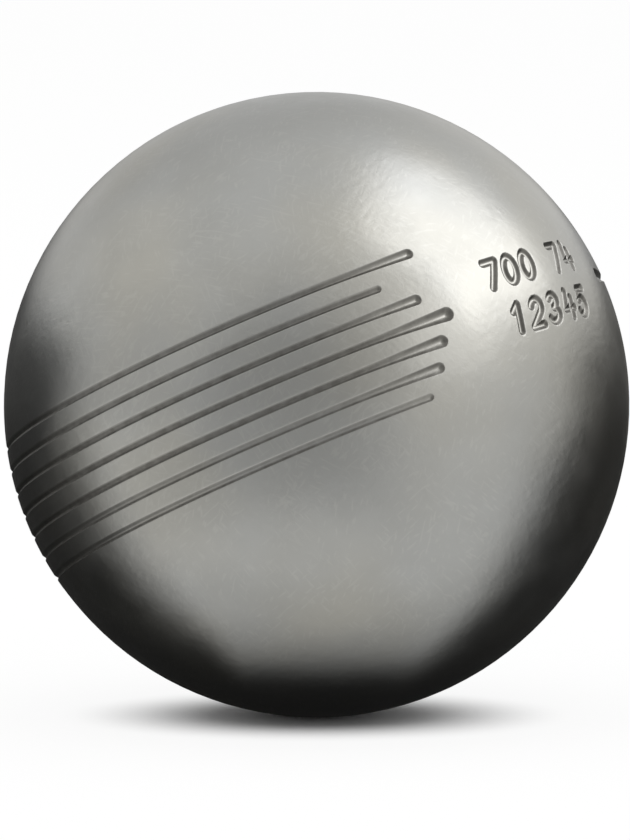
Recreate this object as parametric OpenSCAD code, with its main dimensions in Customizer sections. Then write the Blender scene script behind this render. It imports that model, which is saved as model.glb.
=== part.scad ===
// Petanque boule: two pressed steel half shells, joined by one weld and turned to a true ball.
// The origin is the centre of the ball, and +Z points up as the ball lies.
// Seven parallel grooves run nearly all the way round and end in drop-shaped heads,
// with a bare field left between the two sets of heads.

/* [Ball] */
// Outside diameter of the finished ball
ball_d = 74; // [70.5:0.5:80]
// Thickness of the steel wall
wall = 6.1; // [4:0.1:9]

/* [Weld] */
// Width of the weld where it comes out at the turned surface
weld_face_w = 6; // [4:0.5:10]
// Width of the weld at the inner end of the wall
weld_root_w = 1.6; // [1:0.1:2.5]
// Radius of the round root bead that stands into the hollow
root_bead_r = 1.5; // [1.2:0.1:2.5]

/* [Grooves] */
// Distance between neighbouring grooves, along the surface
groove_pitch = 2.73; // [2:0.01:4]
// Distance from the great circle between the poles up to the first groove, along the surface
first_groove_rise = 9; // [4:0.1:14]
// Width of a groove at the surface
groove_w = 0.85; // [0.5:0.05:1.2]
// Width of the flat at the bottom of a groove
groove_floor_w = 0.2; // [0.1:0.05:0.4]
// Depth of a groove
groove_depth = 0.25; // [0.15:0.01:0.5]
// Lean of the grooves' axis away from vertical, in degrees
groove_lean = 24.65; // [0:0.05:60]
// Direction in which that axis leans, in degrees from +X towards +Y
groove_heading = 155.8; // [0:0.1:360]

/* [Groove ends] */
// Length of the bare field between the two heads of the longest groove
field_len = 32; // [20:0.1:50]
// Turn of the field's middle about the grooves' axis, in degrees
field_turn = 167.2; // [0:0.1:360]
// How much sooner each groove ends than the longest one left of the field, in degrees
left_setbacks = [1.7, 10.2, 4.4, 0, 2.9, 5.2, 8.7];
// How much sooner each groove ends than the longest one right of the field, in degrees
right_setbacks = [12, 20.5, 14.7, 0, 13.2, 15.5, 19];
// How much deeper than the groove each head is, or 0 for a plain end, first groove first
head_deepenings = [0.135, 0, 0.135, 0.295, 0.21, 0.145, 0];
// Length over which a groove deepens towards its head
ramp_len = 12; // [6:0.5:16]
// Extra depth of the round plunge at the very end of a groove
plunge_extra = 0.05; // [0.05:0.01:0.1]

/* [Hidden] */
$fn = 180;

ball_r = ball_d / 2;
hollow_r = ball_r - wall;

// The weld's two flanks are cones, widened past the wall so that the cuts come out clean
weld_flank_slope = (weld_face_w - weld_root_w) / 2 / wall;
overcut = wall / 4;

// The groove cutter is a blunt V, and it stands out of the surface by the same overcut
groove_flank_slope = (groove_w - groove_floor_w) / 2 / groove_depth;
degrees_per_length = 180 / (PI * ball_r);
ramp_turn = ramp_len * degrees_per_length;
// A ramp starts this much before it reaches the groove's own depth
ramp_lead_turn = ramp_turn / 4;
// An arc stops this much short of the plunge's axis, well inside the plunge
short_turn = groove_floor_w / 8 * degrees_per_length;

function half_width(depth) = groove_floor_w / 2 + depth * groove_flank_slope;
function groove_latitude(i) = (first_groove_rise - i * groove_pitch) * degrees_per_length;
function end_turn(setback) = field_len / 2 * degrees_per_length + setback;

// Everything that turns about the Y axis, which is square to the weld's plane
module turned_about_weld_axis() {
    rotate([90, 0, 0]) rotate_extrude() children();
}

// Section of the wall of the half shell on the +Y side, from the weld's plane round to the pole
module wall_section() {
    difference() {
        intersection() {
            circle(r = ball_r);
            translate([0, -ball_r]) square(ball_r);
        }
        circle(r = hollow_r);
    }
}

// Section of the gap between the two bevelled edges, from inside the hollow to outside the ball
module bevel_section() {
    inner_half_w = weld_root_w / 2;
    outer_half_w = weld_face_w / 2 + overcut * weld_flank_slope;
    polygon([
        [hollow_r, -inner_half_w],
        [ball_r + overcut, -outer_half_w],
        [ball_r + overcut, outer_half_w],
        [hollow_r, inner_half_w],
        [hollow_r - overcut, inner_half_w],
        [hollow_r - overcut, -inner_half_w]
    ]);
}

// Section of the weld: the filled bevel, turned flush outside, and the root bead in the hollow
module weld_section() {
    intersection() {
        bevel_section();
        difference() {
            circle(r = ball_r);
            circle(r = hollow_r);
        }
    }
    intersection() {
        circle(r = hollow_r);
        translate([hollow_r, 0]) circle(r = root_bead_r);
    }
}

// Everything that turns about the grooves' axis, with the bare field at angle 0
module about_groove_axis() {
    rotate([0, groove_lean, groove_heading]) rotate([0, 0, field_turn]) children();
}

// Ring cutter of groove i over part of a turn
module groove_arc(i, from_turn, turn) {
    latitude = groove_latitude(i);
    floor_half_w = half_width(0);
    top_half_w = half_width(groove_depth + overcut);
    rotate_extrude(angle = turn, start = from_turn)
        rotate(latitude)
            translate([ball_r, 0])
                polygon([
                    [-groove_depth, -floor_half_w],
                    [overcut, -top_half_w],
                    [overcut, top_half_w],
                    [-groove_depth, floor_half_w]
                ]);
}

// The deepening stretch of groove i before its head: the same ring moved along the groove,
// so that it crosses the groove's own depth one ramp before the end and bites deeper from there
module groove_ramp(i, end) {
    crossing_turn = end + ramp_turn;
    ring_shift = head_deepenings[i] / sin(ramp_turn);
    slip_turn = asin(ring_shift * cos(ramp_turn) / (ball_r * cos(groove_latitude(i))));
    ramp_start = end - slip_turn + short_turn;
    translate([-ring_shift * sin(crossing_turn), ring_shift * cos(crossing_turn), 0])
        groove_arc(i, ramp_start, crossing_turn + ramp_lead_turn - ramp_start);
}

// The round end of groove i, plunged square to the surface by the same V cutter
module groove_plunge(i, end) {
    plunge_depth = groove_depth + head_deepenings[i] + plunge_extra;
    plunge_h = plunge_depth + overcut;
    rotate([0, 90 - groove_latitude(i), end])
        translate([0, 0, ball_r - plunge_depth])
            cylinder(h = plunge_h, r1 = half_width(0), r2 = half_width(plunge_h));
}

// One end of groove i, where end is its turn from the field's middle
module groove_head(i, end) {
    if (head_deepenings[i] > 0) groove_ramp(i, end);
    groove_plunge(i, end);
}

// The cutter for groove i. Its long arc runs into the middle of a ramp, or up to a plain end.
module groove(i) {
    left_end = end_turn(left_setbacks[i]);
    right_end = end_turn(right_setbacks[i]);
    lead_turn = head_deepenings[i] > 0 ? ramp_turn / 2 : short_turn;
    groove_arc(i, right_end + lead_turn, 360 - left_end - right_end - 2 * lead_turn);
    groove_head(i, right_end);
    mirror([0, 1, 0]) groove_head(i, left_end);
}

module grooves() {
    about_groove_axis()
        for (i = [0 : len(left_setbacks) - 1])
            groove(i);
}

// The half shell on the +Y side, pressed and bevelled for the weld
module bevelled_half() {
    turned_about_weld_axis()
        difference() {
            wall_section();
            bevel_section();
        }
}

module front_half_shell() {
    color("silver") difference() {
        mirror([0, 1, 0]) bevelled_half();
        grooves();
    }
}

module rear_half_shell() {
    color("darkgray") difference() {
        bevelled_half();
        grooves();
    }
}

// The weld fills the bevels through the whole wall, and its root bead stands into the hollow
module weld_bead() {
    color("dimgray") difference() {
        turned_about_weld_axis() weld_section();
        grooves();
    }
}

front_half_shell();
rear_half_shell();
weld_bead();
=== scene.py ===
import math

import bmesh
import bpy
import numpy as np
from bpy.props import (FloatProperty, FloatVectorProperty, IntProperty,
                       PointerProperty, StringProperty)
from mathutils import Matrix, Vector


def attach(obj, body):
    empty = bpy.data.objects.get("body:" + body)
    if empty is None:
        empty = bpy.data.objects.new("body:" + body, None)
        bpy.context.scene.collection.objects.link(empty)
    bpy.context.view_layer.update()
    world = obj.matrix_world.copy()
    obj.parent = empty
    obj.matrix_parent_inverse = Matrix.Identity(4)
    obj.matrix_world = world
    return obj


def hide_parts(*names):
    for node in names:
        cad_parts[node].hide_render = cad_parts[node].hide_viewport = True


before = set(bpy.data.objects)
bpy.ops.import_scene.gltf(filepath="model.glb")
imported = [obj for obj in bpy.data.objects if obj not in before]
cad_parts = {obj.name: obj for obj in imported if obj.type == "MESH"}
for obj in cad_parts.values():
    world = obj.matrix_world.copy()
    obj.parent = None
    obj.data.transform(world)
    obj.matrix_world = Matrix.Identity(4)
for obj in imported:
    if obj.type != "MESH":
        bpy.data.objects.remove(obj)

bl_info = {
    "name": "Petanque Boule",
    "version": (1, 0, 0),
    "blender": (4, 5, 0),
    "location": "3D View > Sidebar > Boule",
    "description": "Hollow steel petanque boule: two half shells and a weld, grooved and numbered",
    "category": "Add Mesh",
}

BODY = "boule"
FRONT, REAR, WELD = "front_half_shell", "rear_half_shell", "weld_bead"
MM = 0.001
GROOVES = 7


# ---------------------------------------------------------------- sizes and colours

def length_property(name, description, millimetres):
    return FloatProperty(name=name, description=description, default=millimetres * MM,
                         subtype="DISTANCE", unit="LENGTH", precision=5)


def angle_property(name, description, degrees):
    return FloatProperty(name=name, description=description, default=math.radians(degrees),
                         subtype="ANGLE", unit="ROTATION")


def setbacks_property(side, degrees):
    """One angle for each groove, by which it ends sooner than the longest"""
    description = "How much sooner each groove ends than the longest, " + side + " of the field"
    return FloatVectorProperty(name=side.capitalize() + " setbacks", description=description,
                               size=GROOVES, unit="ROTATION",
                               default=[math.radians(a) for a in degrees])


def color_property(name, description, color):
    return FloatVectorProperty(name=name, description=description, subtype="COLOR",
                               size=len(color), min=0, max=1, default=color)


def brightness_property(name, description, brightness):
    return FloatProperty(name=name, description=description, default=brightness, min=0)


def digits_property(name, digits):
    description = "Plain digits of the " + name.lower()
    return StringProperty(name=name, description=description, default=digits)


class BallSizes(bpy.types.PropertyGroup):
    """Sizes of the ball and of its weld"""
    radius: length_property("Radius", "Radius of the finished ball", 37)
    wall: length_property("Wall", "Thickness of the steel wall", 6.1)
    weld_face: length_property("Weld face", "Width of the weld at the turned surface", 6)
    weld_root: length_property("Weld root", "Width of the weld at the hollow", 1.6)
    root_bead: length_property("Root bead", "Radius of the bead that stands into the hollow", 1.5)
    hollow_steps: IntProperty(name="Hollow steps", description="Faces round the hollow",
                              default=144, min=24)
    bead_ripples: IntProperty(name="Bead ripples", description="Ripples round the root bead",
                              default=90, min=0)


class GrooveSizes(bpy.types.PropertyGroup):
    """Sizes and places of the seven grooves, the same as the part's own"""
    first_rise: length_property("First groove", "First groove's height over the middle circle", 9)
    pitch: length_property("Pitch", "Distance between neighbouring grooves", 2.73)
    width: length_property("Width", "Width of a groove at the surface", 0.85)
    floor: length_property("Floor", "Width of the bottom of a groove", 0.2)
    depth: length_property("Depth", "Depth of a groove", 0.25)
    ramp: length_property("Ramp", "Length over which a groove widens to its head", 12)
    field: length_property("Field", "Length of the bare field between the two sets of heads", 32)
    lean: angle_property("Lean", "Lean of the grooves' axis away from vertical", 24.65)
    heading: angle_property("Heading", "Direction in which the grooves' axis leans", 155.8)
    field_turn: angle_property("Field turn", "Turn of the field's middle about that axis", 167.2)
    left_setbacks: setbacks_property("left", (1.7, 10.2, 4.4, 0, 2.9, 5.2, 8.7))
    right_setbacks: setbacks_property("right", (12, 20.5, 14.7, 0, 13.2, 15.5, 19))
    deepenings: FloatVectorProperty(
        name="Deepenings", description="How much deeper each head is than its groove", size=GROOVES,
        unit="LENGTH", default=[d * MM for d in (0.135, 0, 0.135, 0.295, 0.21, 0.145, 0)])


class NumberSizes(bpy.types.PropertyGroup):
    """The plain numbers engraved in the bare field"""
    upper: digits_property("Upper line", "700 74")
    lower: digits_property("Lower line", "12345")
    height: length_property("Height", "Height of the digits, with their strokes", 4.2)
    stroke: length_property("Stroke", "Width of the cutter's stroke", 1.1)
    depth: length_property("Depth", "Depth of the strokes", 0.38)
    upper_rise: length_property("Upper rise", "Foot of the upper line over the middle circle", 1.4)
    lower_rise: length_property("Lower rise", "Foot of the lower line over the middle circle", -4.3)
    upper_length: length_property("Upper length", "Length of the upper line", 18.6)
    lower_length: length_property("Lower length", "Length of the lower line", 16.2)
    slant: angle_property("Slant", "Slant of the digits to the right", 12)


class SteelLook(bpy.types.PropertyGroup):
    """Colours and gloss of the steel"""
    skin: color_property("Steel", "Colour of the tumbled steel", (0.381, 0.378, 0.352, 1))
    # This colour darkens the grooves both as dirt and as painted shade in their recesses
    grime_and_shade: color_property("Grime and shade", "Colour of the dirt in the grooves", (0.10, 0.095, 0.085, 1))
    scale: color_property("Scale", "Colour of the oxide in the hollow", (0.07, 0.062, 0.058, 1))
    roughness: FloatProperty(name="Roughness", description="Roughness of the tumbled steel",
                             default=0.30, min=0, max=1, subtype="FACTOR")


class StageLook(bpy.types.PropertyGroup):
    """Floor, lamps and camera"""
    floor: color_property("Floor", "Colour of the floor", (1, 1, 1, 1))
    key: brightness_property("Key", "Brightness of the large soft lamp", 1.92)
    fill: brightness_property("Fill", "Brightness of the weaker soft lamp beside it", 0.57)
    lamp_tint: color_property("Lamp tint", "Colour of both lamps", (0.95, 0.957, 1))
    top: brightness_property("Top", "Brightness of the soft light from above", 1.0)
    distance: length_property("Camera distance", "From the camera to the place it is aimed at", 740)
    elevation: angle_property("Camera elevation", "Height of the camera over the horizon", 5)
    focal: FloatProperty(name="Focal length", description="Focal length in mm on a 36 mm sensor",
                         default=267.8)


# ---------------------------------------------------------------- modelling helpers

def set_mode(mode):
    bpy.ops.object.mode_set(mode=mode)


def deselect_all():
    if bpy.context.object and bpy.context.object.mode != "OBJECT":
        set_mode("OBJECT")
    bpy.ops.object.select_all(action="DESELECT")


def activate(obj):
    deselect_all()
    obj.select_set(True)
    bpy.context.view_layer.objects.active = obj


def read_array(items, key, each=1, kind=float):
    """One value, or so many, from each item of a mesh"""
    values = np.empty(len(items) * each, dtype=kind)
    items.foreach_get(key, values)
    return values.reshape(-1, each) if each > 1 else values


def read_points(mesh):
    return read_array(mesh.vertices, "co", 3)


def write_points(mesh, co):
    mesh.vertices.foreach_set("co", np.ascontiguousarray(co, dtype=float).ravel())
    mesh.update()


def edit_selected(obj, edges):
    """Enters edit mode with only the chosen edges selected"""
    activate(obj)
    set_mode("EDIT")
    bpy.ops.mesh.select_mode(type="EDGE")
    bpy.ops.mesh.select_all(action="DESELECT")
    set_mode("OBJECT")
    obj.data.edges.foreach_set("select", edges)
    set_mode("EDIT")


def rolled(name, profile, turns, axis):
    """A fine sheet rolled round an axis after a profile of (distance, height), with its seam and
    its poles closed"""
    deselect_all()
    rows, columns = len(profile), len(turns)
    bpy.ops.mesh.primitive_grid_add(x_subdivisions=columns - 1, y_subdivisions=rows - 1, size=2)
    obj = bpy.context.object
    obj.name = obj.data.name = name
    flat = read_points(obj.data)
    column = np.rint((flat[:, 0] + 1) / 2 * (columns - 1)).astype(int)
    row = np.rint((flat[:, 1] + 1) / 2 * (rows - 1)).astype(int)
    away, height = np.array(profile)[row].T
    turn = np.array(turns)[column]
    across, up = away * np.cos(turn), away * np.sin(turn)
    places = (across, up, height) if axis == "Z" else (across, height, -up)
    write_points(obj.data, np.stack(places, 1))
    set_mode("EDIT")
    bpy.ops.mesh.select_all(action="SELECT")
    bpy.ops.mesh.remove_doubles(threshold=1e-7)
    bpy.ops.mesh.normals_make_consistent(inside=False)
    set_mode("OBJECT")
    return obj


def store(mesh, name, kind, values):
    """Stores a value or a vector for each vertex"""
    layer = mesh.attributes.get(name) or mesh.attributes.new(name, kind, "POINT")
    key = "vector" if kind == "FLOAT_VECTOR" else "value"
    layer.data.foreach_set(key, np.ascontiguousarray(values, dtype=float).ravel())


# ---------------------------------------------------------------- the grooves and the numbers

LEAN = 0.24  # how far the deepest line of a groove lies below its middle, where 1 is its edge
SECTION_POWER = 0.72  # form of a groove's section, where 0.5 gives a V and 1 a round bowl
HEAD_GROWTH = 1.7  # power by which a groove deepens and widens along its ramp
HEAD_LIP = 0.05 * MM  # how much wider a head is on each side than the cutter leaves it
STROKE_POWER = 1.4  # form of a number's section, where more gives softer edges
STEEP_FROM, STEEP_OVER = 0.12, 0.7  # steepness at which a wall begins to darken with dirt and painted shade, and its range
BOTTOM_GRIME_AND_SHADE = (0.75, 0.75, 0.85, 0.85, 0.85, 0.5, 0.4)  # dirt and painted shade along the bottom of each groove
LOWER_RIM = 0.1  # wear on the lower rim of a groove, where the upper rim has 1
RIM_REACH = 0.09 * MM  # how far the wear reaches from a rim


class Relief:
    """What is cut into the ball's surface. Turns are angles about the grooves' axis from the
    middle of the bare field, and rises are lengths along the surface from the middle circle."""

    def __init__(self, ball, grooves, numbers):
        self.r = ball.radius
        g = grooves
        self.pitch, self.depth, self.ramp = g.pitch, g.depth, g.ramp
        self.rises = [g.first_rise - i * g.pitch for i in range(GROOVES)]
        self.left = [g.field / 2 / self.r + s for s in g.left_setbacks]
        self.right = [g.field / 2 / self.r + s for s in g.right_setbacks]
        self.deeper = list(g.deepenings)
        self.body = g.width / 2
        slope = (g.width - g.floor) / 2 / g.depth
        self.heads = [g.floor / 2 + (g.depth + d) * slope + HEAD_LIP for d in self.deeper]
        self.stroke, self.cut = numbers.stroke / 2, numbers.depth
        self.lines = number_strokes(numbers)
        self.frame = np.array(Matrix.Rotation(g.heading, 3, "Z") @ Matrix.Rotation(g.lean, 3, "Y")
                              @ Matrix.Rotation(g.field_turn, 3, "Z"))

    def along(self, i, turn):
        """Distance of a place from the end of groove i, towards the groove"""
        past_end = np.where(turn < 0, -turn - self.left[i], turn - self.right[i])
        return past_end * self.r * math.cos(self.rises[i] / self.r)

    def taper(self, i, turn):
        return np.clip(1 - self.along(i, turn) / self.ramp, 0, 1) ** HEAD_GROWTH

    def half_width(self, i, turn):
        return self.body + (self.heads[i] - self.body) * self.taper(i, turn)

    def place_in(self, i, turn, rise):
        """How far past the end of groove i, and how far to which side, where 1 is its edge"""
        past = np.maximum(-self.along(i, turn), 0) / self.heads[i]
        return past, (rise - self.rises[i]) / self.half_width(i, turn)

    def depth_at(self, turn, rise):
        depth = np.zeros_like(turn)
        for i in range(GROOVES):
            taper = self.taper(i, turn)
            deep = self.depth + self.deeper[i] * taper
            lean = LEAN * (1 - taper) if self.deeper[i] else LEAN
            depth = np.maximum(depth, deep * groove_section(*self.place_in(i, turn, rise), lean))
        off = stroke_distance(turn * self.r, rise, self.lines) / self.stroke
        return np.maximum(depth, self.cut * np.clip(1 - off ** 2, 0, 1) ** STROKE_POWER)

    def grime_and_shade_at(self, turn, rise, steepness):
        """Where dirt and painted shade darken the cuts: on steep walls, and along the grooves'
        bottoms up to their heads
        """
        grime_and_shade = np.clip((steepness - STEEP_FROM) / STEEP_OVER, 0, 1)
        for i in range(GROOVES):
            clean = self.taper(i, turn) if self.deeper[i] else 0
            bottom = np.minimum(2 * groove_section(*self.place_in(i, turn, rise), LEAN), 1)
            grime_and_shade = np.maximum(grime_and_shade, BOTTOM_GRIME_AND_SHADE[i] * bottom * (1 - clean))
        return grime_and_shade

    def edge_at(self, turn, rise):
        """1 on the rim of a cut, falling off on both sides"""
        edge = np.zeros_like(turn)
        for i in range(GROOVES):
            gap = (np.hypot(*self.place_in(i, turn, rise)) - 1) * self.half_width(i, turn)
            share = np.where(rise > self.rises[i], 1, LOWER_RIM)
            edge = np.maximum(edge, share * np.exp(-(gap / RIM_REACH) ** 2))
        gap = stroke_distance(turn * self.r, rise, self.lines) - self.stroke
        return np.maximum(edge, np.exp(-(gap / RIM_REACH) ** 2))


def groove_section(past, side, lean):
    """Section of a groove turned by a blunt cutter, from 0 at its edge to 1 at its deepest, which
    lies nearer to the lower edge, so that the upper flank is the softer one"""
    inside = np.clip(1 - past ** 2 - side ** 2, 0, 1)
    return np.clip(1 - (past ** 2 + (side + lean * inside) ** 2) ** SECTION_POWER, 0, 1)


DIGIT_WIDTH = 0.62  # of a digit's height
STROKE_REACH = 1.2 * MM  # distance past which a stroke isn't felt


def arc(cx, cy, rx, ry, start, end, steps=14):
    angles = np.radians(np.linspace(start, end, steps))
    return [(cx + rx * math.cos(a), cy + ry * math.sin(a)) for a in angles]


def digit(char):
    """The strokes of one digit in a box DIGIT_WIDTH wide and 1 high"""
    shapes = {
        "0": [arc(0.31, 0.5, 0.31, 0.5, 0, 360, 28)],
        "1": [[(0.1, 0.76), (0.36, 1), (0.36, 0)]],
        "2": [arc(0.31, 0.7, 0.29, 0.3, 165, -35) + [(0, 0), (0.62, 0)]],
        "3": [arc(0.29, 0.75, 0.26, 0.25, 150, -90), arc(0.29, 0.25, 0.31, 0.25, 90, -155)],
        "4": [[(0.14, 1), (0, 0.34), (0.66, 0.34)], [(0.48, 0.72), (0.48, 0)]],
        "5": [[(0.57, 1), (0.1, 1), (0.05, 0.56)] + arc(0.29, 0.32, 0.31, 0.32, 130, -150)],
        "6": [arc(0.31, 0.3, 0.31, 0.3, 0, 360, 20), arc(0.62, 0.3, 0.62, 0.7, 180, 108)],
        "7": [[(0, 1), (0.62, 1), (0.2, 0)]],
        "8": [arc(0.31, 0.76, 0.25, 0.24, 0, 360, 18), arc(0.31, 0.26, 0.31, 0.26, 0, 360, 20)],
        "9": [arc(0.31, 0.7, 0.31, 0.3, 0, 360, 20), arc(0, 0.7, 0.62, 0.7, 0, -72)],
    }
    return shapes.get(char, [])


def number_strokes(n):
    """Straight pieces of every stroke of both lines, on the unrolled surface"""
    tall = n.height - n.stroke
    pieces = []
    for text, foot, length in ((n.upper, n.upper_rise, n.upper_length),
                               (n.lower, n.lower_rise, n.lower_length)):
        step = (length - n.stroke - DIGIT_WIDTH * tall) / max(len(text) - 1, 1)
        left = -(length - n.stroke) / 2 - math.tan(n.slant) * tall / 2
        for k, char in enumerate(text):
            for stroke in digit(char):
                place = [(left + k * step + x * tall + math.tan(n.slant) * y * tall,
                          foot + n.stroke / 2 + y * tall) for x, y in stroke]
                pieces += list(zip(place, place[1:]))
    return np.array(pieces)


def stroke_distance(x, y, pieces):
    """Distance of each place from the nearest stroke, or 1 m where none is near"""
    best = np.full(x.shape, 1.0)
    for (ax, ay), (bx, by) in pieces:
        near = ((x > min(ax, bx) - STROKE_REACH) & (x < max(ax, bx) + STROKE_REACH)
                & (y > min(ay, by) - STROKE_REACH) & (y < max(ay, by) + STROKE_REACH))
        if not near.any():
            continue
        px, py, dx, dy = x[near] - ax, y[near] - ay, bx - ax, by - ay
        t = np.clip((px * dx + py * dy) / (dx * dx + dy * dy), 0, 1)
        best[near] = np.minimum(best[near], np.hypot(px - t * dx, py - t * dy))
    return best


# ---------------------------------------------------------------- the turned outer surface

# Places of the grid's lines across a groove, as shares of the way from its middle to its edge,
# then from its edge to half the pitch. The edge lies at one share of half the pitch.
INSIDE = (0, 0.22, 0.42, 0.6, 0.75, 0.87, 0.96)
OUTSIDE = (0, 0.10, 0.28, 0.62)
EDGE_AT = 0.62
# Gaps between the lines past the last groove: the first, their growth, and the widest
FIRST_GAP, GAP_GROWTH, LAST_GAP = 0.25 * MM, 1.35, 1.9 * MM
# Sectors of the grid's rings, as (degrees, steps): from behind to the field's middle, and back
LEFT_SECTORS = ((126, 84), (18, 30), (13, 84), (7.5, 24), (15.5, 106))
RIGHT_SECTORS = ((15.5, 106), (7.5, 24), (4, 26), (8, 16), (12, 72), (18, 30), (115, 78))
CAP_KEEP = 3  # one ring in so many goes on past the band of grooves, up to the poles
FAN_FROM, FAN_OVER = 0.15 * MM, 1.5 * MM  # where lines spread past a head, and over what


def zone_lines(pitch):
    """Even places of the lines across one groove, from its middle to half the pitch"""
    inner = [EDGE_AT * f for f in INSIDE]
    outer = [EDGE_AT + (1 - EDGE_AT) * f for f in OUTSIDE]
    return [f * pitch / 2 for f in inner + outer]


def line_rises(relief):
    """Rises of all lines of the grid, from the lower pole to the upper"""
    rises = set()
    for middle in relief.rises:
        for gap in zone_lines(relief.pitch):
            rises |= {middle + gap, middle - gap}
        rises |= {middle + relief.pitch / 2, middle - relief.pitch / 2}
    rises = sorted({round(v, 9) for v in rises})
    quarter = math.pi / 2 * relief.r
    for sign, place in ((-1, rises[0]), (1, rises[-1])):
        gap = FIRST_GAP
        while quarter - sign * (place + sign * gap) > gap * 0.7:
            place += sign * gap
            rises.append(place)
            gap = min(gap * GAP_GROWTH, LAST_GAP)
        rises.append(sign * quarter)
    return sorted(rises)


def ring_turns():
    """Turns of all rings of the grid, close together at the heads and the numbers"""
    rings = [-180.0]
    for angle, steps in LEFT_SECTORS + RIGHT_SECTORS:
        first = rings[-1]
        rings += [first + angle / steps * (k + 1) for k in range(steps)]
    return np.radians(np.array(rings))


def ball_skin(relief):
    """The whole turned surface in the row's frame, with its grooves, numbers and stored normals"""
    r = relief.r
    rises = line_rises(relief)
    profile = [(r * math.cos(v / r), r * math.sin(v / r)) for v in rises]
    profile[0], profile[-1] = (0, -r), (0, r)
    obj = rolled("ball_skin", profile, ring_turns(), "Z")
    thin_caps(obj, relief)
    mesh = obj.data
    co = read_points(mesh)
    turn, rise = np.arctan2(co[:, 1], co[:, 0]), r * np.arcsin(np.clip(co[:, 2] / r, -1, 1))
    rise = fanned(turn, rise, relief)
    depth = relief.depth_at(turn, rise)
    lat = rise / r
    out = np.stack([np.cos(lat) * np.cos(turn), np.cos(lat) * np.sin(turn), np.sin(lat)], 1)
    east = np.stack([-np.sin(turn), np.cos(turn), np.zeros_like(turn)], 1)
    north = np.cross(out, east)
    eps = 0.04 * MM
    side = eps / r / np.maximum(np.cos(lat), 0.2)  # no cut lies where the limit holds
    d_east = (relief.depth_at(turn + side, rise) - relief.depth_at(turn - side, rise)) / (2 * eps)
    d_north = (relief.depth_at(turn, rise + eps) - relief.depth_at(turn, rise - eps)) / (2 * eps)
    normal = out + east * d_east[:, None] + north * d_north[:, None]
    normal /= np.linalg.norm(normal, axis=1)[:, None]
    write_points(mesh, (out * (r - depth)[:, None]) @ relief.frame.T)
    store(mesh, "ball_normal", "FLOAT_VECTOR", normal @ relief.frame.T)
    # The cut attribute holds where dirt and painted shade darken the walls and bottoms of the cuts
    store(mesh, "cut", "FLOAT", relief.grime_and_shade_at(turn, rise, np.hypot(d_east, d_north)))
    store(mesh, "rim", "FLOAT", relief.edge_at(turn, rise))
    return obj


def thin_caps(obj, relief):
    """Takes two meridians out of three away, above and below the band of grooves"""
    mesh = obj.data
    co = read_points(mesh)
    rise = relief.r * np.arcsin(np.clip(co[:, 2] / relief.r, -1, 1))
    turn = np.arctan2(co[:, 1], co[:, 0])
    rings = ring_turns()
    ring = np.searchsorted((rings[1:] + rings[:-1]) / 2, turn)
    low = relief.rises[-1] - relief.pitch / 2 - 1e-6
    high = relief.rises[0] + relief.pitch / 2 + 1e-6
    cap = (rise < low) | (rise > high)
    pole = np.abs(np.abs(rise) - math.pi / 2 * relief.r) < 1e-6
    a, b = read_array(mesh.edges, "vertices", 2, int).T
    meridian = (ring[a] == ring[b]) | pole[a] | pole[b]
    edge_ring = np.where(pole[a], ring[b], ring[a])
    edit_selected(obj, meridian & (cap[a] | cap[b]) & (edge_ring % CAP_KEEP != 0))
    bpy.ops.mesh.dissolve_edges(use_verts=True)
    set_mode("OBJECT")


def fanned(turn, rise, relief):
    """Moves the grid's lines so that they keep to each groove's edges, and spread evenly in the
    field"""
    half = relief.pitch / 2
    even_from = np.array(zone_lines(relief.pitch) + [half])
    even_to = np.linspace(0, half, len(even_from))
    result = rise.copy()
    for i, middle in enumerate(relief.rises):
        zone = np.abs(rise - middle) <= half + 1e-8
        gap, sign, t = np.abs(rise[zone] - middle), np.sign(rise[zone] - middle), turn[zone]
        width = relief.half_width(i, t)
        edge = EDGE_AT * half
        fitted = np.where(gap <= edge, gap / edge * width,
                          width + (gap - edge) / (half - edge) * (half - width))
        past = (-relief.along(i, t) - relief.heads[i] - FAN_FROM) / FAN_OVER
        past = np.clip(past, 0, 1)
        past = past * past * (3 - 2 * past)
        even = np.interp(gap, even_from, even_to)
        result[zone] = middle + sign * (fitted * (1 - past) + even * past)
    return result


# ---------------------------------------------------------------- the three pieces

def weld_edge(ball):
    """Where the bevel's flank meets the turned surface: its distance from the weld's plane"""
    hollow = ball.radius - ball.wall
    slope = (ball.weld_face - ball.weld_root) / 2 / ball.wall
    x = ball.radius
    for _ in range(20):
        x = math.sqrt(ball.radius ** 2 - (ball.weld_root / 2 + (x - hollow) * slope) ** 2)
    return ball.weld_root / 2 + (x - hollow) * slope


def sliced(skin, name, keep_from, keep_to):
    """The part of the skin between two planes square to Y"""
    activate(skin)
    bpy.ops.object.duplicate()
    obj = bpy.context.object
    obj.name = obj.data.name = name
    set_mode("EDIT")
    for place, outer in ((keep_from, False), (keep_to, True)):
        if place is None:
            continue
        bpy.ops.mesh.select_all(action="SELECT")
        bpy.ops.mesh.bisect(plane_co=(0, place, 0), plane_no=(0, 1, 0), use_fill=False,
                            clear_inner=not outer, clear_outer=outer, threshold=1e-8)
    set_mode("OBJECT")
    return obj


HOLLOW_RINGS, BEAD_LINES, ROOT_SECTORS = 24, 17, 720
RIPPLE_DEPTH = 0.07 * MM
RIPPLE_SWEEP = 900  # how fast a ripple falls back from the bead's middle, in radians per metre


def half_hollow(ball, side):
    """The inner surface of a half shell, from its pole to the weld's root"""
    hollow = ball.radius - ball.wall
    last = math.asin(ball.weld_root / 2 / hollow)
    angles = np.linspace(math.pi / 2, last, HOLLOW_RINGS)
    profile = [(hollow * math.cos(a), side * hollow * math.sin(a)) for a in angles]
    profile[0] = (0, side * hollow)
    return rolled("hollow", profile, np.linspace(-math.pi, math.pi, ball.hollow_steps + 1), "Y")


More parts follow.
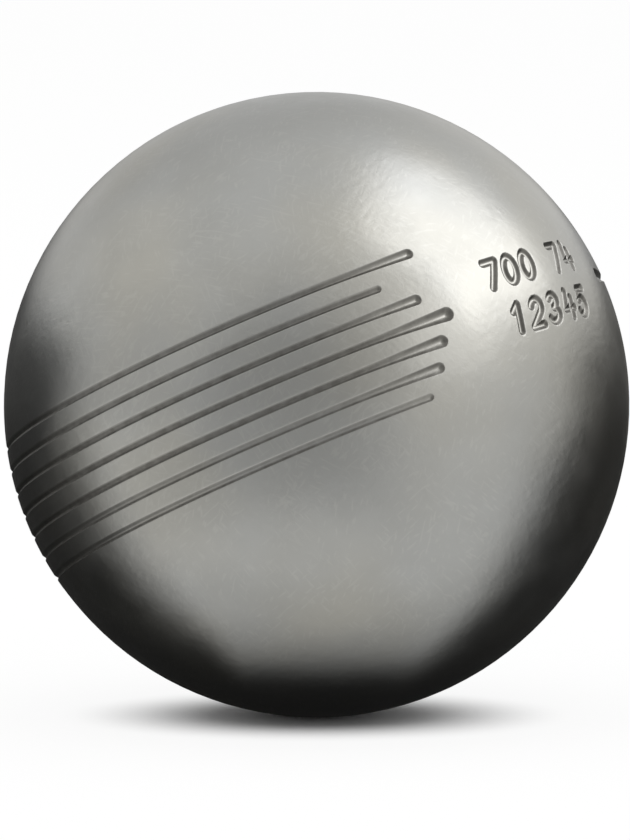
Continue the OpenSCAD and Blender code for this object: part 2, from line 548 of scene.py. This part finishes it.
def root_surface(ball):
    """The inner surface of the weld: the rippled root bead on its two feet"""
    hollow = ball.radius - ball.wall
    b = ball.root_bead
    foot = ball.weld_root / 2
    meet = math.acos(b / (2 * hollow))
    angles = np.linspace(meet, -meet, BEAD_LINES)
    bead = [(hollow - b * math.cos(a), b * math.sin(a)) for a in angles]
    foot_x = math.sqrt(hollow ** 2 - foot ** 2)
    profile = [(foot_x, foot)] + bead + [(foot_x, -foot)]
    obj = rolled("root", profile, np.linspace(-math.pi, math.pi, ROOT_SECTORS + 1), "Y")
    co = read_points(obj.data)
    round_y = np.arctan2(co[:, 2], co[:, 0])
    away = np.hypot(co[:, 0], co[:, 2])
    inward = np.clip((hollow - away) / b, 0, 1)
    chevron = ball.bead_ripples * round_y + RIPPLE_SWEEP * np.abs(co[:, 1])
    lift = RIPPLE_DEPTH * inward * (np.sin(chevron) - 1)
    scale = (away - lift) / away
    co[:, 0] *= scale
    co[:, 2] *= scale
    write_points(obj.data, co)
    return obj


def paint_faces(obj, material):
    """Gives a surface its one material, and an empty store of each kind that it lacks"""
    obj.data.materials.clear()
    obj.data.materials.append(material)
    for layer, kind, size in (("ball_normal", "FLOAT_VECTOR", 3), ("cut", "FLOAT", 1),
                              ("rim", "FLOAT", 1)):
        if obj.data.attributes.get(layer) is None:
            store(obj.data, layer, kind, np.zeros(len(obj.data.vertices) * size))


def open_rims(bm):
    """The open rims of a mesh, each as its vertices in order of their turn about Y"""
    rims = []
    left = {e for e in bm.edges if e.is_boundary}
    while left:
        stack, group = [left.pop()], set()
        while stack:
            edge = stack.pop()
            for v in edge.verts:
                group.add(v)
                for other in v.link_edges:
                    if other in left:
                        left.discard(other)
                        stack.append(other)
        rims.append(sorted(group, key=lambda v: math.atan2(v.co.z, v.co.x)))
    return rims


def zip_rims(bm, outer, inner, material):
    """Closes the gap between two rims with triangles, going round both together"""
    a_turn = [math.atan2(v.co.z, v.co.x) for v in outer]
    b_turn = [math.atan2(v.co.z, v.co.x) for v in inner]
    i = j = 0
    n, m = len(outer), len(inner)
    while i < n or j < m:
        a, b = outer[i % n], inner[j % m]
        next_a = a_turn[(i + 1) % n] + (2 * math.pi if i + 1 >= n else 0)
        next_b = b_turn[(j + 1) % m] + (2 * math.pi if j + 1 >= m else 0)
        if j >= m or (i < n and next_a <= next_b):
            face = bm.faces.new((a, outer[(i + 1) % n], b))
            i += 1
        else:
            face = bm.faces.new((a, inner[(j + 1) % m], b))
            j += 1
        face.material_index = material


def closed_piece(name, outer, inner, skin_material, inner_material):
    """Joins an outer and an inner surface, closes the gaps between their rims, sets the normals"""
    paint_faces(outer, skin_material)
    paint_faces(inner, inner_material)
    activate(outer)
    inner.select_set(True)
    bpy.ops.object.join()
    obj = bpy.context.object
    obj.name = obj.data.name = name
    set_mode("EDIT")
    bm = bmesh.from_edit_mesh(obj.data)
    rims = open_rims(bm)
    rims.sort(key=lambda rim: math.hypot(rim[0].co.x, rim[0].co.z))
    inner_rims, outer_rims = rims[:len(rims) // 2], rims[len(rims) // 2:]
    for rim in outer_rims:
        mate = min(inner_rims, key=lambda other: abs(other[0].co.y - rim[0].co.y))
        zip_rims(bm, rim, mate, 1)
    bmesh.update_edit_mesh(obj.data)
    bpy.ops.mesh.select_all(action="SELECT")
    bpy.ops.mesh.normals_make_consistent(inside=False)
    bpy.ops.mesh.quads_convert_to_tris(quad_method="SHORTEST_DIAGONAL", ngon_method="BEAUTY")
    set_mode("OBJECT")
    bpy.ops.object.shade_smooth()
    set_normals(obj.data)
    return obj


def set_normals(mesh):
    """Gives the turned surface its stored normals, so that it shades as one ball over the joints"""
    material = read_array(mesh.polygons, "material_index", kind=int)
    totals = read_array(mesh.polygons, "loop_total", kind=int)
    corner_vert = read_array(mesh.loops, "vertex_index", kind=int)
    corner_edge = read_array(mesh.loops, "edge_index", kind=int)
    skin_corner = np.repeat(material, totals) == 0
    touches_skin = np.bincount(corner_edge[skin_corner], minlength=len(mesh.edges)) > 0
    touches_inner = np.bincount(corner_edge[~skin_corner], minlength=len(mesh.edges)) > 0
    mesh.edges.foreach_set("use_edge_sharp", touches_skin & touches_inner)
    stored = read_array(mesh.attributes["ball_normal"].data, "vector", 3)
    corner = np.where(skin_corner[:, None], stored[corner_vert], 0)
    length = np.linalg.norm(corner, axis=1)
    corner[length > 0] /= length[length > 0][:, None]
    mesh.normals_split_custom_set(corner.tolist())


def fit_to_frame(obj, node):
    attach(obj, BODY)
    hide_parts(node)


# ---------------------------------------------------------------- materials

def feed(tree, socket, value):
    """Links an input to another node's output, or sets its constant"""
    if isinstance(value, bpy.types.NodeSocket):
        tree.links.new(value, socket)
    else:
        socket.default_value = value


def put(tree, kind, **inputs):
    """Adds a node and feeds its inputs, by name or by number after an underscore"""
    node = tree.nodes.new(kind)
    for key, value in inputs.items():
        numbered = key[0] == "_" and key[1:].isdigit()
        feed(tree, node.inputs[int(key[1:]) if numbered else key.replace("_", " ")], value)
    return node


def maths(tree, operation, a, b=0.0):
    node = put(tree, "ShaderNodeMath", _0=a, _1=b)
    node.operation = operation
    return node.outputs[0]


def times(tree, a, b):
    return maths(tree, "MULTIPLY", a, b)


def noise_value(tree, vector, scale, detail, **more):
    """The grey value of a noise of so many cells to the metre"""
    node = put(tree, "ShaderNodeTexNoise", Vector=vector, Scale=scale, Detail=detail, **more)
    return node.outputs["Fac"]


def ranged(tree, value, low, high, to_low=0.0, to_high=1.0):
    """A value moved from one range to another, with soft ends"""
    node = put(tree, "ShaderNodeMapRange", Value=value, From_Min=low, From_Max=high,
               To_Min=to_low, To_Max=to_high)
    node.interpolation_type = "SMOOTHSTEP"
    return node.outputs[0]


def blended(tree, factor, a, b):
    """Colour a where the factor is 0, and b where it is 1"""
    node = tree.nodes.new("ShaderNodeMix")
    node.data_type = "RGBA"
    for number, value in ((0, factor), (6, a), (7, b)):
        feed(tree, node.inputs[number], value)
    return node.outputs[2]


def arrange(tree):
    """Lays a tree's nodes out in columns, by how many steps each one is from the last"""
    steps = {node: 0 for node in tree.nodes}
    for _ in steps:
        for link in tree.links:
            steps[link.from_node] = max(steps[link.from_node], steps[link.to_node] + 1)
    rows = [0] * len(steps)
    for node, step in steps.items():
        node.location = -240 * step, -200 * rows[step]
        rows[step] += 1


def new_group(name, inputs, outputs):
    """A node group with inputs of (name, kind, value) and outputs of plain values"""
    group = bpy.data.node_groups.new(name, "ShaderNodeTree")
    for label, kind, value in inputs:
        socket = group.interface.new_socket(label, in_out="INPUT", socket_type=kind)
        if value is not None:
            socket.default_value = value
    for label in outputs:
        group.interface.new_socket(label, in_out="OUTPUT", socket_type="NodeSocketFloat")
    return group, put(group, "NodeGroupInput").outputs, put(group, "NodeGroupOutput").inputs


KEEP_TO, KEEP_END = 22 * MM, 33 * MM  # a globe's lines fade between these distances


def lined_noise(group, vector, angles, along, across):
    """Noise drawn out along a turned globe's parallels, and a mask that ends before its poles"""
    turned = put(group, "ShaderNodeMapping", Vector=vector, Rotation=angles)
    parts = put(group, "ShaderNodeSeparateXYZ", Vector=turned.outputs[0]).outputs
    turn = maths(group, "ARCTAN2", parts["Y"], parts["X"])
    sheet = put(group, "ShaderNodeCombineXYZ", X=times(group, turn, along),
                Y=times(group, parts["Z"], across))
    noise = noise_value(group, sheet.outputs[0], 1.0, 0.0)
    from_equator = maths(group, "ABSOLUTE", parts["Z"], 0.0)
    keep = ranged(group, from_equator, KEEP_TO, KEEP_END, 1.0, 0.0)
    return noise, keep


# Directions of the scratches and of the scuffs: the turn of their globe, their cells to the radian
# along them and their cells to the metre across them
SCRATCHES = (((0, 0.75, 0), 22, 2900), ((0.5, -0.35, 0), 17, 3300), ((1.2, 0.5, 0), 20, 2700),
             ((0.2, 1.35, 0), 25, 3100), ((-0.6, -0.9, 0), 19, 3500))
SCUFFS = (((0, 0.6, 0), 15, 1500), ((0.9, -0.5, 0), 20, 1900), ((0.3, 1.2, 0), 17, 1700))


def scratch_group():
    """Hairline scratches in five directions, thin and broken up"""
    group, given, result = new_group("hairline_scratches", [
        ("Vector", "NodeSocketVector", None), ("Rarity", "NodeSocketFloat", 0.62)], ["Mask"])
    total = None
    for k, direction in enumerate(SCRATCHES):
        noise, keep = lined_noise(group, given["Vector"], *direction)
        patches = noise_value(group, given["Vector"], 110.0 + 30 * k, 2.0)
        thin = ranged(group, noise, given["Rarity"], 0.74)
        patch = ranged(group, patches, 0.42, 0.62)
        layer = times(group, times(group, thin, patch), keep)
        total = layer if total is None else maths(group, "MAXIMUM", total, layer)
    feed(group, result["Mask"], total)
    arrange(group)
    return group


def tumbled_group():
    """What tumbling leaves on steel: soft clouds, the same as waves that aren't cut off, two tints,
    a fine grain and soft scuffs along three directions"""
    group, given, result = new_group("tumbled_steel", [("Vector", "NodeSocketVector", None)],
                                     ["Clouds", "Waves", "Tint", "Grain", "Scuffs"])
    clouds = noise_value(group, given["Vector"], 95.0, 4.0, Roughness=0.55)
    tint = noise_value(group, given["Vector"], 38.0, 2.0)
    grain = noise_value(group, given["Vector"], 1500.0, 0.0, Distortion=2.0)
    scuffs = None
    for direction in SCUFFS:
        noise, keep = lined_noise(group, given["Vector"], *direction)
        stroke = times(group, maths(group, "SUBTRACT", noise, 0.5), keep)
        scuffs = stroke if scuffs is None else maths(group, "ADD", scuffs, stroke)
    for name, value in (("Clouds", ranged(group, clouds, 0.25, 0.75)), ("Waves", clouds),
                        ("Tint", ranged(group, tint, 0.35, 0.65)), ("Grain", grain),
                        ("Scuffs", scuffs)):
        feed(group, result[name], value)
    arrange(group)
    return group


def cut_group():
    """Dirt and painted shade in the cuts, and bright wear on their rims, both broken up by noise"""
    inputs = [("Vector", "NodeSocketVector", None), ("Cut", "NodeSocketFloat", 0.0),
              ("Rim", "NodeSocketFloat", 0.0)]
    group, given, result = new_group("cut_grime_and_shade_and_wear", inputs, ["Grime and shade", "Wear"])
    blots = noise_value(group, given["Vector"], 900.0, 4.0)
    amount = ranged(group, blots, 0.3, 0.7, 0.8, 1.0)
    held = ranged(group, given["Cut"], 0.0, 1.0)
    feed(group, result["Grime and shade"], times(group, held, amount))
    chips = ranged(group, blots, 0.35, 0.6, 0.5, 1.0)
    feed(group, result["Wear"], times(group, given["Rim"], chips))
    arrange(group)
    return group


def effect(tree, group, **links):
    """Adds a node group and links its inputs"""
    node = tree.nodes.new("ShaderNodeGroup")
    node.node_tree = group
    for key, socket in links.items():
        feed(tree, node.inputs[key], socket)
    return node.outputs


def attribute(tree, name):
    node = tree.nodes.new("ShaderNodeAttribute")
    node.attribute_name = name
    return node.outputs["Fac"]


def blank_material(name):
    material = bpy.data.materials.new(name)
    material.use_nodes = True
    material.node_tree.nodes.clear()
    return material, material.node_tree


def steel_material(name, metallic):
    """A material's tree with its shader, and the place on the object that its textures go by"""
    tree = blank_material(name)[1]
    shader = put(tree, "ShaderNodeBsdfPrincipled", Metallic=metallic)
    put(tree, "ShaderNodeOutputMaterial", Surface=shader.outputs[0])
    where = put(tree, "ShaderNodeTexCoord").outputs["Object"]
    return tree, shader, where


def shade(color, factor):
    """A colour made darker or brighter"""
    return (color[0] * factor, color[1] * factor, color[2] * factor, 1)


# Spread of the roughness. Its low end stays above 0.275: the renderer's denoiser treats smoother
# steel in another way, and patches of it show.
SMOOTHER, ROUGHER = 0.02, 0.05


def tumbled_skin(name, look, groups, tone):
    """Satin tumbled steel, with scratches, clouds, dirt and painted shade in its cuts, and bright
    rims
    """
    tree, shader, where = steel_material(name, 1.0)
    steel = effect(tree, groups["tumbled"], Vector=where)
    lines = effect(tree, groups["scratches"], Vector=where)
    cuts = effect(tree, groups["cuts"], Vector=where,
                  Cut=attribute(tree, "cut"), Rim=attribute(tree, "rim"))
    base = shade(look.skin, tone)
    warm = (base[0] * 1.02, base[1] * 1.005, base[2] * 0.975, 1)
    cool = (base[0] * 0.97, base[1] * 0.985, base[2] * 1.02, 1)
    color = blended(tree, steel["Tint"], cool, warm)
    # The grime layer paints dirt and shade into the cuts
    for mask, strength, layer in ((steel["Clouds"], 0.35, shade(base, 0.80)),
                                  (lines["Mask"], 0.22, shade(base, 1.25)),
                                  (cuts["Grime and shade"], 0.92, tuple(look.grime_and_shade)),
                                  (cuts["Wear"], 0.45, shade(base, 1.3))):
        color = blended(tree, times(tree, mask, strength), color, layer)
    feed(tree, shader.inputs["Base Color"], color)
    rough = ranged(tree, steel["Clouds"], 0.0, 1.0,
                   look.roughness - SMOOTHER, look.roughness + ROUGHER)
    rough = maths(tree, "ADD", rough, times(tree, cuts["Grime and shade"], 0.12))
    feed(tree, shader.inputs["Roughness"], rough)
    fine = times(tree, steel["Grain"], 0.3)
    waves = times(tree, steel["Waves"], 6.5)
    scuffs = times(tree, steel["Scuffs"], 0.35)
    height = maths(tree, "ADD", maths(tree, "ADD", fine, waves), scuffs)
    height = maths(tree, "SUBTRACT", height, times(tree, lines["Mask"], 0.1))
    bump = put(tree, "ShaderNodeBump", Strength=0.4, Distance=0.05 * MM, Height=height)
    feed(tree, shader.inputs["Normal"], bump.outputs[0])
    arrange(tree)


RUST = (0.13, 0.085, 0.06, 1)


def mill_scale(name, look, groups):
    """Dull grey oxide, as heat leaves it inside the hollow and on the root bead"""
    tree, shader, where = steel_material(name, 0.6)
    steel = effect(tree, groups["tumbled"], Vector=where)
    flakes = noise_value(tree, where, 700.0, 6.0, Roughness=0.65)
    patch = ranged(tree, flakes, 0.45, 0.6)
    color = blended(tree, steel["Clouds"], tuple(look.scale), shade(look.scale, 1.9))
    color = blended(tree, patch, color, RUST)
    feed(tree, shader.inputs["Base Color"], color)
    feed(tree, shader.inputs["Roughness"], ranged(tree, flakes, 0.3, 0.7, 0.5, 0.75))
    bump = put(tree, "ShaderNodeBump", Strength=0.4, Distance=0.1 * MM, Height=flakes)
    feed(tree, shader.inputs["Normal"], bump.outputs[0])
    arrange(tree)


def steel_materials():
    """All materials of the ball, made once"""
    made = bpy.data.materials
    if "tumbled_steel" not in made:
        look = bpy.context.scene.boule_steel
        groups = {"tumbled": tumbled_group(), "scratches": scratch_group(), "cuts": cut_group()}
        tumbled_skin("tumbled_steel", look, groups, 1.0)
        tumbled_skin("tumbled_weld", look, groups, 0.985)
        mill_scale("mill_scale", look, groups)
    return made["tumbled_steel"], made["tumbled_weld"], made["mill_scale"]


# ---------------------------------------------------------------- operators

class BOULE_OT_skin(bpy.types.Operator):
    """Turns the whole outer surface and cuts the grooves and numbers into it"""
    bl_idname = "boule.skin"
    bl_label = "Turn the ball's surface"

    def execute(self, context):
        scene = context.scene
        ball_skin(Relief(scene.boule_ball, scene.boule_grooves, scene.boule_numbers))
        return {"FINISHED"}


class BOULE_OT_half_shells(bpy.types.Operator):
    """Makes the two half shells from the turned surface"""
    bl_idname = "boule.half_shells"
    bl_label = "Half shells"

    def execute(self, context):
        ball = context.scene.boule_ball
        skin = bpy.data.objects["ball_skin"]
        steel, _, scale = steel_materials()
        edge = weld_edge(ball)
        for node, side, keep in ((FRONT, -1, (None, -edge)), (REAR, 1, (edge, None))):
            outer = sliced(skin, node + "_looks", *keep)
            inner = half_hollow(ball, side)
            piece = closed_piece(node + "_looks", outer, inner, steel, scale)
            fit_to_frame(piece, node)
        return {"FINISHED"}


class BOULE_OT_weld(bpy.types.Operator):
    """Makes the weld, flush outside and with a root bead inside"""
    bl_idname = "boule.weld"
    bl_label = "Weld"

    def execute(self, context):
        ball = context.scene.boule_ball
        skin = bpy.data.objects["ball_skin"]
        _, steel, scale = steel_materials()
        edge = weld_edge(ball)
        outer = sliced(skin, WELD + "_looks", -edge, edge)
        piece = closed_piece(WELD + "_looks", outer, root_surface(ball), steel, scale)
        fit_to_frame(piece, WELD)
        bpy.data.objects.remove(skin)
        return {"FINISHED"}


def towards(azimuth, elevation):
    """Direction of a place seen from the ball: azimuth 0 is towards the viewer, 90 to the right"""
    a, e = math.radians(azimuth), math.radians(elevation)
    return Vector((math.sin(a) * math.cos(e), -math.cos(a) * math.cos(e), math.sin(e)))


def linked(name, data):
    """A new object in the scene"""
    obj = bpy.data.objects.new(name, data)
    bpy.context.collection.objects.link(obj)
    return obj


def lamp(name, azimuth, elevation, distance, width, height, radiance):
    """A soft box of an even brightness that faces the ball"""
    data = bpy.data.lights.new(name, "AREA")
    data.shape, data.size, data.size_y = "RECTANGLE", width, height
    data.energy = radiance * math.pi * width * height
    obj = linked(name, data)
    obj.location = towards(azimuth, elevation) * distance
    obj.rotation_euler = (-obj.location).to_track_quat("-Z", "Y").to_euler()
    return obj


def shade_sheet_material(name, tone):
    """A dark sheet that paints shade into the steel's reflections, fading out towards its edges,
    where the attribute fade falls to 0
    """
    material, tree = blank_material(name)
    painted_shade = put(tree, "ShaderNodeEmission", Color=(tone, tone, tone, 1))
    clear = put(tree, "ShaderNodeBsdfTransparent")
    mix = put(tree, "ShaderNodeMixShader", Fac=attribute(tree, "fade"),
              _1=clear.outputs[0], _2=painted_shade.outputs[0])
    put(tree, "ShaderNodeOutputMaterial", Surface=mix.outputs[0])
    arrange(tree)
    return material


def shade_sheet(name, tone, places, fades):
    """A dark sheet of rows of places, seen only in the steel's reflections, where it paints shade
    """
    rows, columns = len(places), len(places[0])
    mesh = bpy.data.meshes.new(name)
    faces = [(k, k + 1, k + columns + 1, k + columns)
             for k in range((rows - 1) * columns) if (k + 1) % columns]
    mesh.from_pydata([p for row in places for p in row], [], faces)
    store(mesh, "fade", "FLOAT", [f for row in fades for f in row])
    mesh.materials.append(shade_sheet_material(name, tone))
    obj = linked(name, mesh)
    for ray in ("camera", "diffuse", "transmission", "shadow", "volume_scatter"):
        setattr(obj, "visible_" + ray, False)
    return obj


def ramp(value, low, high):
    """Rises from 0 to 1 between two values, with soft ends"""
    t = min(max((value - low) / (high - low), 0), 1)
    return t * t * (3 - 2 * t)


def spread(value, pairs):
    """A value read off a line through pairs of places and values"""
    return float(np.interp(value, *zip(*pairs)))


# How much of the floor's light the dark sheet takes in front of the ball, as painted shadow in the
# steel's reflection, by distance from the contact, and how far round to each side the floor stays
# light at that distance, in degrees
FRONT_SHADE = ((0.014, 0.99), (0.018, 0.99), (0.0215, 0.85), (0.026, 0.45), (0.035, 0.14),
               (0.044, 0.05), (0.064, 0.04), (0.096, 0.34), (0.195, 0.5))
LIGHT_SIDES = ((0.012, 12), (0.021, 36), (0.028, 46), (0.036, 56), (0.05, 65), (0.068, 71),
               (0.1, 79), (0.2, 91), (0.5, 103))
LEFT_SHIFT = ((0.028, 11), (0.05, 2))


def ground_shade(azimuth, away):
    """How dark the sheet on the floor is at one place: painted shade in the steel's reflection"""
    turned = (azimuth + 180) % 360 - 180
    side = abs(turned) + (spread(away, LEFT_SHIFT) if turned < 0 else 0)
    edge = spread(away, LIGHT_SIDES)
    front = spread(away, FRONT_SHADE)
    if away > 0.05:
        front *= ramp(turned, -90, 0) if turned < 0 else ramp(-turned, -50, 0)
    return max(front, 0.99 * ramp(side, edge - 12, edge + 12))


def seen_as_picture(tree):
    """1 for rays from the camera, off steel and through glass, and 0 for light on things"""
    rays = put(tree, "ShaderNodeLightPath").outputs
    seen = maths(tree, "MAXIMUM", rays["Is Camera Ray"], rays["Is Glossy Ray"])
    return maths(tree, "MAXIMUM", seen, rays["Is Transmission Ray"])


def floor_material(look):
    """Pale floor that keeps the ball's shadow and turns white away from it, to the camera and in
    the steel. The shadow is drawn out to both sides, so distance counts for more along Y."""
    material, tree = blank_material("pale_floor")
    seen = seen_as_picture(tree)
    cover = put(tree, "ShaderNodeBsdfDiffuse", Color=tuple(look.floor))
    white = put(tree, "ShaderNodeEmission", Color=tuple(look.floor))
    where = put(tree, "ShaderNodeTexCoord").outputs["Object"]
    flat = put(tree, "ShaderNodeVectorMath", _0=where, _1=(1, 1.3, 0))
    flat.operation = "MULTIPLY"
    away = put(tree, "ShaderNodeVectorMath", _0=flat.outputs[0])
    away.operation = "LENGTH"
    pale = ranged(tree, away.outputs["Value"], 0.011, 0.031, 0.0, 0.9)
    mix = put(tree, "ShaderNodeMixShader", Fac=times(tree, pale, seen),
              _1=cover.outputs[0], _2=white.outputs[0])
    put(tree, "ShaderNodeOutputMaterial", Surface=mix.outputs[0])
    arrange(tree)
    return material


def cap_ring(azimuth, elevation, spread_angle, turns):
    """Places 1 m away, all at one angle from a direction"""
    middle, t = towards(azimuth, elevation), math.radians(spread_angle)
    over, across = towards(azimuth, elevation + 90), towards(azimuth + 90, 0)
    circle = [(math.cos(math.radians(a)), math.sin(math.radians(a))) for a in turns]
    return [middle * math.cos(t) + (over * up + across * side) * math.sin(t)
            for up, side in circle]


FLOOR_RADIUS, FLOOR_GAP, SHADE_SHEET_GAP = 9, 0.01 * MM, 0.1 * MM
ROUND = [5 * k for k in range(73)]  # azimuths of the shade sheets' columns
GROUND_RINGS = (0.0005, 0.008, 0.014, 0.018, 0.021, 0.024, 0.028, 0.032, 0.038, 0.044, 0.054, 0.068,
                0.083, 0.1, 0.14, 0.2, 0.3, 0.5)
WALL_AWAY, WALL_HEIGHTS = 0.5, (0.0, 0.045, 0.06, 0.08, 0.1, 0.115, 0.14, 0.16)
# Round sheets of painted shade in the steel's reflections: azimuth and elevation, reach and even
# middle in degrees, and darkness
ROUND_SHADE_SHEETS = (("front_shade_sheet", -8, 8, 54, 18, 0.5), ("left_shade_sheet", -70, 6, 38, 12, 0.22),
               ("rear_shade_sheet", -165, 25, 50, 15, 0.25))
CAMERA_SHIFT, CAMERA_DROP = -0.18 * MM, 1.81 * MM  # from the ball's centre to the aim


def lay_floor(look, ground):
    bpy.ops.mesh.primitive_circle_add(vertices=96, radius=FLOOR_RADIUS, fill_type="NGON",
                                      location=(0, 0, 0))
    floor = bpy.context.object
    floor.name = "floor"
    write_points(floor.data, read_points(floor.data) + (0, 0, ground - FLOOR_GAP))
    floor.data.materials.append(floor_material(look))


def set_shade_sheets(ground):
    """The dark sheets that paint shade into the steel's reflections: one on the floor, a wall
    behind the ball, and three round ones
    """
    low = ground + SHADE_SHEET_GAP
    ground_rows = [[towards(a, 0) * d + Vector((0, 0, low)) for a in ROUND] for d in GROUND_RINGS]
    shades = [[ground_shade(a, d) for a in ROUND] for d in GROUND_RINGS]
    shade_sheet("ground_shade_sheet", 0.012, ground_rows, shades)
    heights = (low, *WALL_HEIGHTS)
    wall = [[towards(a, 0) * WALL_AWAY + Vector((0, 0, h)) for a in ROUND] for h in heights]
    dark = [0.98 * ramp(a, 91, 115) * ramp(-a, -275, -251) for a in ROUND]
    tall = [ramp(a, 215, 240) for a in ROUND]
    shade_sheet("wall_shade_sheet", 0.03, wall, [[d * ramp(-h, -0.115 - 0.045 * t, -0.045 - 0.015 * t)
                                    for d, t in zip(dark, tall)] for h in heights])
    for name, azimuth, elevation, reach, inner, darkness in ROUND_SHADE_SHEETS:
        angles = range(0, 61, 6)
        shade_sheet(name, 0.05, [cap_ring(azimuth, elevation, t, ROUND) for t in angles],
             [[darkness * ramp(-t, -reach, -inner)] * len(ROUND) for t in angles])


def set_lamps(look):
    """Two soft boxes that the steel shows, and one overhead that only lights the floor"""
    for soft in (lamp("key", 90, 50, 1.2, 1.05, 1.1, look.key),
                 lamp("fill", 56, 26, 1.35, 0.8, 0.6, look.fill)):
        soft.visible_diffuse = False
        soft.data.color = look.lamp_tint
    lamp("top", 0, 90, 1.5, 1.4, 1.4, look.top).visible_glossy = False


def light_air(scene):
    """White air, a little dimmer where it lights things than where it is seen"""
    world = scene.world or bpy.data.worlds.new("studio")
    scene.world = world
    world.use_nodes = True
    tree = world.node_tree
    tree.nodes.clear()
    strength = ranged(tree, seen_as_picture(tree), 0, 1, 0.85, 1.0)
    air = put(tree, "ShaderNodeBackground", Color=(1, 1, 1, 1), Strength=strength)
    put(tree, "ShaderNodeOutputWorld", Surface=air.outputs[0])
    arrange(tree)


def place_camera(scene, look):
    eye = linked("camera", bpy.data.cameras.new("camera"))
    eye.data.lens, eye.data.sensor_width = look.focal, 36
    eye.data.clip_start, eye.data.clip_end = 0.05, 50
    place = towards(0, math.degrees(look.elevation))
    up = towards(0, math.degrees(look.elevation) + 90)
    aim = Vector((CAMERA_SHIFT, 0, 0)) - up * CAMERA_DROP
    eye.location = place * look.distance + aim
    eye.rotation_euler = (aim - eye.location).to_track_quat("-Z", "Y").to_euler()
    scene.camera = eye


class BOULE_OT_stage(bpy.types.Operator):
    """Sets up the floor, the soft light, the dark sheets of painted shade in the reflections and
    the camera
    """
    bl_idname = "boule.stage"
    bl_label = "Stage"

    def execute(self, context):
        scene = context.scene
        look, ground = scene.boule_stage, -scene.boule_ball.radius
        deselect_all()
        lay_floor(look, ground)
        set_shade_sheets(ground)
        set_lamps(look)
        light_air(scene)
        place_camera(scene, look)
        scene.view_settings.view_transform = "Standard"
        return {"FINISHED"}


class BOULE_PT_panel(bpy.types.Panel):
    """The boule's sizes, looks and operators"""
    bl_label = "Petanque boule"
    bl_idname = "BOULE_PT_panel"
    bl_space_type = "VIEW_3D"
    bl_region_type = "UI"
    bl_category = "Boule"

    def draw(self, context):
        for group in SETTINGS:
            box = self.layout.box()
            box.label(text=group.removeprefix("boule_").capitalize())
            settings = getattr(context.scene, group)
            for name in settings.bl_rna.properties.keys():
                if name not in ("rna_type", "name"):
                    box.prop(settings, name)
        for operator in OPERATORS:
            self.layout.operator(operator.bl_idname)


SETTINGS = {"boule_ball": BallSizes, "boule_grooves": GrooveSizes, "boule_numbers": NumberSizes,
            "boule_steel": SteelLook, "boule_stage": StageLook}
OPERATORS = (BOULE_OT_skin, BOULE_OT_half_shells, BOULE_OT_weld, BOULE_OT_stage)


def register():
    for cls in (*SETTINGS.values(), *OPERATORS, BOULE_PT_panel):
        bpy.utils.register_class(cls)
    for name, cls in SETTINGS.items():
        setattr(bpy.types.Scene, name, PointerProperty(type=cls))


def unregister():
    for name in SETTINGS:
        delattr(bpy.types.Scene, name)
    for cls in (BOULE_PT_panel, *reversed(OPERATORS), *reversed(list(SETTINGS.values()))):
        bpy.utils.unregister_class(cls)


def main():
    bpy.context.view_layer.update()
    register()
    bpy.ops.boule.skin()
    bpy.ops.boule.half_shells()
    bpy.ops.boule.weld()
    bpy.ops.boule.stage()


if __name__ == "__main__":
    main()
